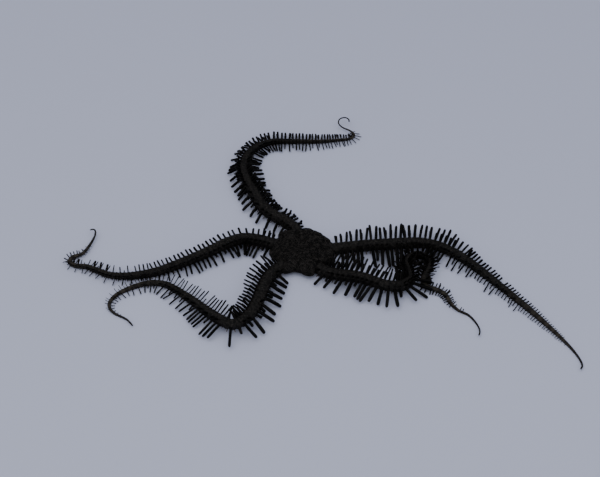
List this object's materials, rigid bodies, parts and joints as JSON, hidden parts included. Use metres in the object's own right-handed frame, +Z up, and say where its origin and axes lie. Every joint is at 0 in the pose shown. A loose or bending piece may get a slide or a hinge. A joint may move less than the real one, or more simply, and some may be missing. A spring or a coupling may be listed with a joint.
{
  "type": "brittle star",
  "caption": "Black spiny brittle star lying flat, with a small round disc and long arms that bend, loop back and curl at their tips.",
  "frame": {"origin": "centre of the mouth, on the floor under the middle of the disc", "axes": "+Z up from the floor through the disc; +X towards the side of the longest arm; -Y towards the side that the picture was taken from"},
  "size_m": [0.2048, 0.1569, 0.0091],
  "materials": {
    "arm": "near-black skin and spines with a wet, satin sheen",
    "disc": "near-black, finely granular wet skin",
    "mouth": "dark brown-grey jaws, satin"
  },
  "bodies": {
    "root": {"disc": "disc", "jaws": "mouth", "arm_right_1": "arm", "arm_right_2": "arm", "arm_right_3": "arm", "arm_right_4": "arm", "arm_front_right_1": "arm", "arm_front_right_2": "arm", "arm_front_right_3": "arm", "arm_front_right_4": "arm", "arm_front_right_5": "arm", "arm_front_left_1": "arm", "arm_front_left_2": "arm", "arm_front_left_3": "arm", "arm_front_left_4": "arm", "arm_front_left_5": "arm", "arm_left_1": "arm", "arm_left_2": "arm", "arm_left_3": "arm", "arm_left_4": "arm", "arm_left_5": "arm", "arm_back_1": "arm", "arm_back_2": "arm", "arm_back_3": "arm", "arm_back_4": "arm", "arm_back_5": "arm", "arm_back_6": "arm"}
  },
  "joints": []
}
